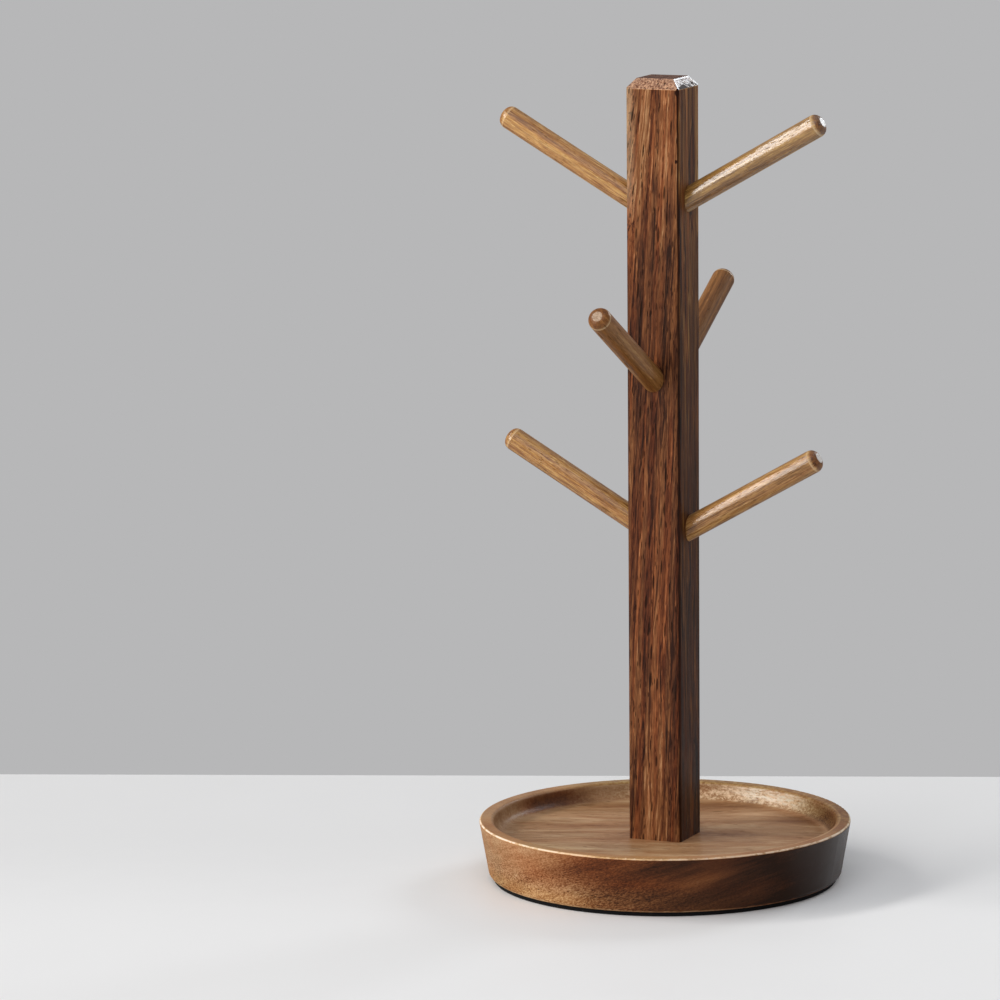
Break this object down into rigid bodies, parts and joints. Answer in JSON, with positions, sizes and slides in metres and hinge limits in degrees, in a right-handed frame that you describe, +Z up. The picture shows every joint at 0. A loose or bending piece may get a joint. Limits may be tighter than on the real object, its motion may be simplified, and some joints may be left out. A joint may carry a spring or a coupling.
{
  "type": "jewellery tree stand",
  "caption": "Free-standing jewellery tree: a square wooden post with angled round pegs for hanging bracelets and necklaces, standing in a round dished tray with a non-slip foot.",
  "frame": {"origin": "on the surface that the stand rests on, under the middle of the tray and the post", "axes": "+Z up along the post; the top and lower pegs lean out along +X and -X, the middle pegs along -Y (front) and +Y (back)"},
  "size_m": [0.1796, 0.1796, 0.3887],
  "materials": {
    "tray_wood": "satin oiled, open-grained hardwood",
    "post_wood": "satin oiled, open-grained hardwood",
    "peg_wood": "satin oiled, open-grained hardwood",
    "dowel_wood": "plain beech, unfinished",
    "pad_foam": "matt black closed-cell foam rubber",
    "zinc_steel": "bright zinc plate",
    "insert_brass": "turned brass"
  },
  "bodies": {
    "root": {"tray": "tray_wood", "post": "post_wood", "base_pad": "pad_foam", "bolt": "zinc_steel", "washer": "zinc_steel", "threaded_insert": "insert_brass", "dowel_left": "dowel_wood", "dowel_right": "dowel_wood", "peg_top_left": "peg_wood", "peg_top_right": "peg_wood", "peg_middle_front": "peg_wood", "peg_middle_back": "peg_wood", "peg_lower_left": "peg_wood", "peg_lower_right": "peg_wood"}
  },
  "joints": []
}
